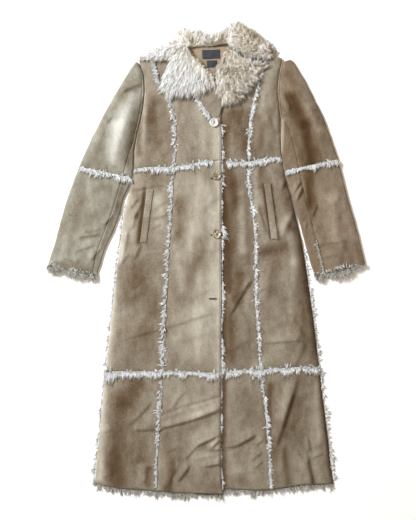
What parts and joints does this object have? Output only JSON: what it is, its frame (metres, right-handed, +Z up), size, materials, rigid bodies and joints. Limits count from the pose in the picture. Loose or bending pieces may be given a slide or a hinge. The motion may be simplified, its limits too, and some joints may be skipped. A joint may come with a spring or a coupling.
{
  "type": "long fur-trimmed faux suede coat, laid flat",
  "caption": "Long tan faux suede coat laid flat and buttoned, with shaggy cream fur collar, lapels, cuffs, hem and seams, worn over clothes for warmth.",
  "frame": {"origin": "middle of the outline of the laid coat, on the surface that it lies on", "axes": "+Y towards the collar, +X towards the wearer's left sleeve, +Z up from the surface"},
  "size_m": [0.829, 1.2418, 0.0331],
  "materials": {
    "suede": "napped faux suede, matte with a soft sheen",
    "suede_inside": "plain tan facing inside the neck, matte",
    "fur": "long cream faux fur with darker yellow roots",
    "button_horn": "mottled horn look, satin",
    "button_pearl": "milky pearl look, satin",
    "label": "plain dark navy woven tape"
  },
  "bodies": {
    "root": {"back_lower": "suede", "back_middle": "suede", "back_neck_lining": "suede_inside", "back_upper": "suede", "button_lower": "button_horn", "button_middle": "button_horn", "button_top": "button_pearl", "collar_fur_back": "fur", "collar_fur_left_leaf": "fur", "collar_fur_right_leaf": "fur", "front_edge_fur": "fur", "left_cuff_fur": "fur", "left_cuff_vent_fur": "fur", "left_elbow_fur": "fur", "left_front_lower_centre": "suede", "left_front_lower_side": "suede", "left_front_middle_centre": "suede", "left_front_middle_side": "suede", "left_front_upper_centre": "suede", "left_front_upper_side": "suede", "left_hem_fur": "fur", "left_knee_fur": "fur", "left_lapel_facing": "suede", "left_lapel_fur": "fur", "left_pocket_welt": "suede", "left_princess_fur_lower": "fur", "left_princess_fur_middle": "fur", "left_princess_fur_upper": "fur", "left_side_fur": "fur", "left_sleeve_top_lower": "suede", "left_sleeve_top_upper": "suede", "left_sleeve_under_lower": "suede", "left_sleeve_under_upper": "suede", "left_waist_fur": "fur", "neck_label": "label", "right_cuff_fur": "fur", "right_elbow_fur": "fur", "right_front_lower_centre": "suede", "right_front_lower_side": "suede", "right_front_middle_centre": "suede", "right_front_middle_side": "suede", "right_front_upper_centre": "suede", "right_front_upper_side": "suede", "right_hem_fur": "fur", "right_knee_fur": "fur", "right_lapel_edge_fur": "fur", "right_lapel_facing": "suede", "right_lapel_fur": "fur", "right_pocket_welt": "suede", "right_princess_fur_lower": "fur", "right_princess_fur_middle": "fur", "right_princess_fur_upper": "fur", "right_side_fur": "fur", "right_sleeve_top_lower": "suede", "right_sleeve_top_upper": "suede", "right_sleeve_under_lower": "suede", "right_sleeve_under_upper": "suede", "right_waist_fur": "fur", "size_tag": "label", "undercollar": "suede"}
  },
  "joints": []
}
